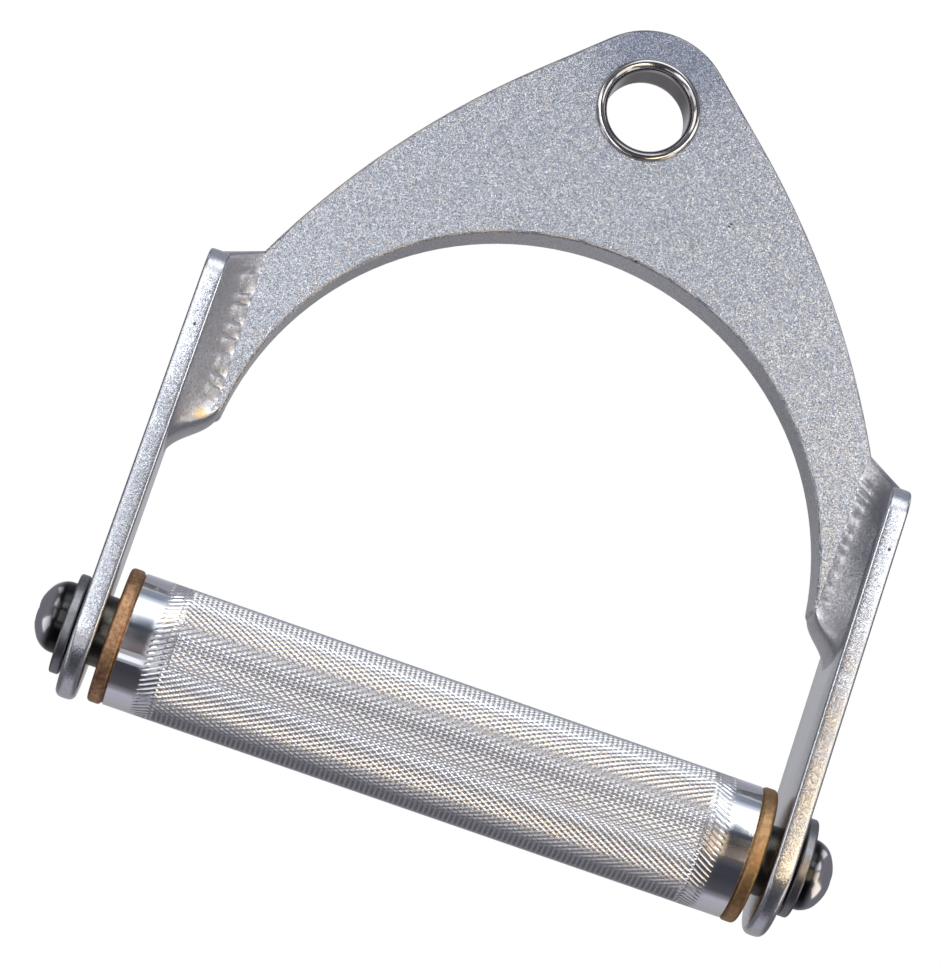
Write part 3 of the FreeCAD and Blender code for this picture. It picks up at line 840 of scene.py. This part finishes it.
# Welds: end, side, front fillet, rear fillet, random seed.
WRAPS = [("left", -1, Fillet(8.6, 7.8, 6.6, 0.70, 0.56, 9.5), Fillet(8.0, 6.5, 6.0, 0.6, 0.5, 9.0), 3),
         ("right", 1, Fillet(7.5, 6.8, 6.2, 0.95, 0.45, 11.5), Fillet(7.5, 6.0, 6.0, 0.6, 0.5, 9.5), 5)]
for word, side, front, rear, seed in WRAPS:
    stand_in(weld_wrap(word, side, front, rear, WELD, seed), "frame", "weld_bead",
             *(f"{word}_{place}_weld" for place in ("front", "top", "rear", "tip")))


# ---- stage, light and camera ----

FLOOR_Z = -0.36            # metres; the handle hangs by its eye above the floor
FLOOR_SIZE = 6.0           # metres along each side


def floor():
    """Pale floor that the steel doesn't mirror."""
    shader = Shader("floor_paint")
    colour = shader.mix(shader.noise(120.0, 2.0), 0.86, 0.90)
    material = shader.finish(colour, 0.8, metallic=0.0)
    half = FLOOR_SIZE / 2 / MM
    z = FLOOR_Z / MM
    corners = [(-half, -half, z), (half, -half, z), (half, half, z), (-half, half, z)]
    piece = mesh_piece("floor", corners, [(0, 1, 2, 3)], material)
    piece.visible_glossy = False
    piece.visible_diffuse = False
    return piece


def lit_set(name, piece, state):
    """Collection that tells a light to reach only one piece (INCLUDE), or all but that one (EXCLUDE)."""
    chosen = bpy.data.collections.new(name)
    chosen.objects.link(piece)
    chosen.collection_objects[0].light_linking.link_state = state
    return chosen


# Studio as the steel mirrors it, by the angle above the horizon round from the front (0) over the top (90)
# to the back (180), and under the floor from the front (0) by -90 to the back.
STUDIO_GAIN = 2.0                        # radiance of a colour of 1
STUDIO_SIDE = (0.08, 0.08, 0.09)
STUDIO_SIDE_FADE = (0.17, 0.42)          # how far sideways, as a sine, the room gives way to its dull sides
STUDIO = [(-180, (0.235, 0.235, 0.245)), (-165, (0.19, 0.185, 0.195)), (-150, (0.205, 0.195, 0.205)),
          (-108, (0.245, 0.24, 0.28)), (-100, (0.13, 0.12, 0.14)), (-90, (0.045, 0.043, 0.05)),
          (-60, (0.026, 0.026, 0.034)), (-40, (0.026, 0.028, 0.036)), (-22, (0.07, 0.062, 0.062)),
          (-12, (0.075, 0.062, 0.062)), (0, (0.026, 0.026, 0.030)), (14, (0.030, 0.032, 0.040)),
          (26, (0.055, 0.065, 0.085)), (34, (0.20, 0.23, 0.27)), (40, (0.60, 0.62, 0.66)),
          (48, (1.0, 1.0, 1.0)), (62, (1.0, 1.0, 1.0)), (71, (0.42, 0.45, 0.50)),
          (80, (0.13, 0.15, 0.19)), (88, (0.14, 0.16, 0.20)), (97, (0.19, 0.20, 0.23)),
          (120, (0.165, 0.165, 0.19)), (140, (0.20, 0.20, 0.23)), (158, (0.28, 0.28, 0.31)),
          (172, (0.28, 0.28, 0.29)), (180, (0.235, 0.235, 0.245))]


def studio():
    """White behind the handle for the camera, and the studio all round it for everything else."""
    world = bpy.data.worlds.new("studio")
    bpy.context.scene.world = world
    world.use_nodes = True
    n = Nodes(world.node_tree)
    toward = n.add("ShaderNodeSeparateXYZ", {0: n.add("ShaderNodeTexCoord").outputs["Generated"]}).outputs
    angle = n.math("ARCTAN2", toward["Z"], n.math("MULTIPLY", toward["Y"], -1.0))
    share = n.add("ShaderNodeMapRange", {0: angle, 1: -math.pi, 2: math.pi}).outputs[0]
    colour = n.ramp(share, [((degrees + 180) / 360, colour) for degrees, colour in STUDIO])
    colour = n.mix(n.fade(n.math("ABSOLUTE", toward["X"]), *STUDIO_SIDE_FADE), colour, STUDIO_SIDE)
    room = n.add("ShaderNodeBackground", {"Color": colour, "Strength": STUDIO_GAIN}).outputs[0]
    white = n.add("ShaderNodeBackground", {"Color": colour_of(1.0)}).outputs[0]
    by_camera = n.add("ShaderNodeLightPath").outputs["Is Camera Ray"]
    shown = n.add("ShaderNodeMixShader", {"Fac": by_camera, 1: room, 2: white}).outputs[0]
    n.add("ShaderNodeOutputWorld", {"Surface": shown})


WHITE, COOL, WARM, GOLDEN = (1.0, 1.0, 1.0), (0.93, 0.95, 1.0), (1.0, 0.90, 0.76), (1.0, 0.77, 0.50)
FAR_SIDE = 0.4             # metres; boxes further to one side than this face sideways
# Soft boxes: centre, width and height in metres, colour, radiance.
SOFT_BOXES = {
    "left_low": ((-0.151, -0.34, -0.194), 0.12, 0.216, COOL, 2.4),
    "right_low": ((0.184, -0.34, -0.194), 0.12, 0.216, GOLDEN, 3.2),
    "left_high": ((-0.149, -0.34, 0.041), 0.12, 0.138, COOL, 3.6),
    "right_high": ((0.182, -0.34, 0.041), 0.12, 0.138, COOL, 3.6),
    "kicker": ((-0.15, -0.34, -0.42), 0.28, 0.08, COOL, 0.8),
    "kicker_halo": ((-0.15, -0.345, -0.42), 0.30, 0.20, COOL, 0.35),
    "left_side_low": ((-0.55, -0.62, -0.20), 0.40, 0.32, COOL, 1.2),
    "right_side_low": ((0.55, -0.55, -0.20), 0.50, 0.32, WARM, 1.3),
    "left_side_high": ((-0.55, -0.56, 0.18), 0.62, 0.30, WHITE, 1.5),
    "right_side_high": ((0.55, -0.60, 0.18), 0.60, 0.30, WHITE, 1.5),
    "left_wall_low": ((-0.45, -0.08, -0.36), 0.35, 0.26, WHITE, 0.7),
    "right_wall_low": ((0.45, -0.08, -0.36), 0.35, 0.26, WARM, 1.0),
    "left_wall_high": ((-0.45, 0.10, 0.42), 0.35, 0.30, COOL, 0.7),
    "right_wall_high": ((0.45, 0.10, 0.36), 0.35, 0.30, COOL, 0.8),
}
# The same for the light that reaches only the floor.
FLOOR_WASH = ((0.0, 0.0, 2.4), FLOOR_SIZE, FLOOR_SIZE, WHITE, 0.9)


def soft_box(lit, name, place, width, height, colour, radiance):
    """Rectangular light that faces straight down, and lights what lit allows."""
    light = bpy.data.lights.new(name, "AREA")
    light.shape = "RECTANGLE"
    light.size = width
    light.size_y = height
    light.color = colour
    light.energy = radiance * math.pi * width * height
    lamp = bpy.data.objects.new(name, light)
    bpy.context.scene.collection.objects.link(lamp)
    lamp.location = place
    lamp.visible_camera = False
    lamp.light_linking.receiver_collection = lit
    return lamp


def face_handle(lamp):
    """Turns a box to face the rear, or the middle if it stands far to one side."""
    x, y, _ = lamp.location
    back = Vector((x, 0.0, 0.0)) if abs(x) > FAR_SIDE else Vector((0.0, y, 0.0))
    lamp.rotation_euler = back.to_track_quat("Z", "Y").to_euler()


CAMERA_PLACE = (-0.0503, -1.0036, -0.3175)      # metres
CAMERA_TURN = (102.934, -18.314, -6.344)        # degrees about X, Y and Z
CAMERA_LENS = 162.8
CAMERA_SENSOR = 36.0
CAMERA_REACH = (0.05, 50.0)                     # metres, nearest and furthest thing drawn


def camera():
    data = bpy.data.cameras.new("camera")
    data.lens = CAMERA_LENS
    data.sensor_width = CAMERA_SENSOR
    data.clip_start, data.clip_end = CAMERA_REACH
    eye = bpy.data.objects.new("camera", data)
    bpy.context.scene.collection.objects.link(eye)
    eye.location = CAMERA_PLACE
    eye.rotation_euler = [math.radians(turn) for turn in CAMERA_TURN]
    bpy.context.scene.camera = eye


ground = floor()
studio()
all_but_floor = lit_set("all_but_floor", ground, "EXCLUDE")
for name, values in SOFT_BOXES.items():
    face_handle(soft_box(all_but_floor, name, *values))
soft_box(lit_set("floor_only", ground, "INCLUDE"), "floor_wash", *FLOOR_WASH)
camera()
bpy.context.scene.view_settings.view_transform = "Standard"
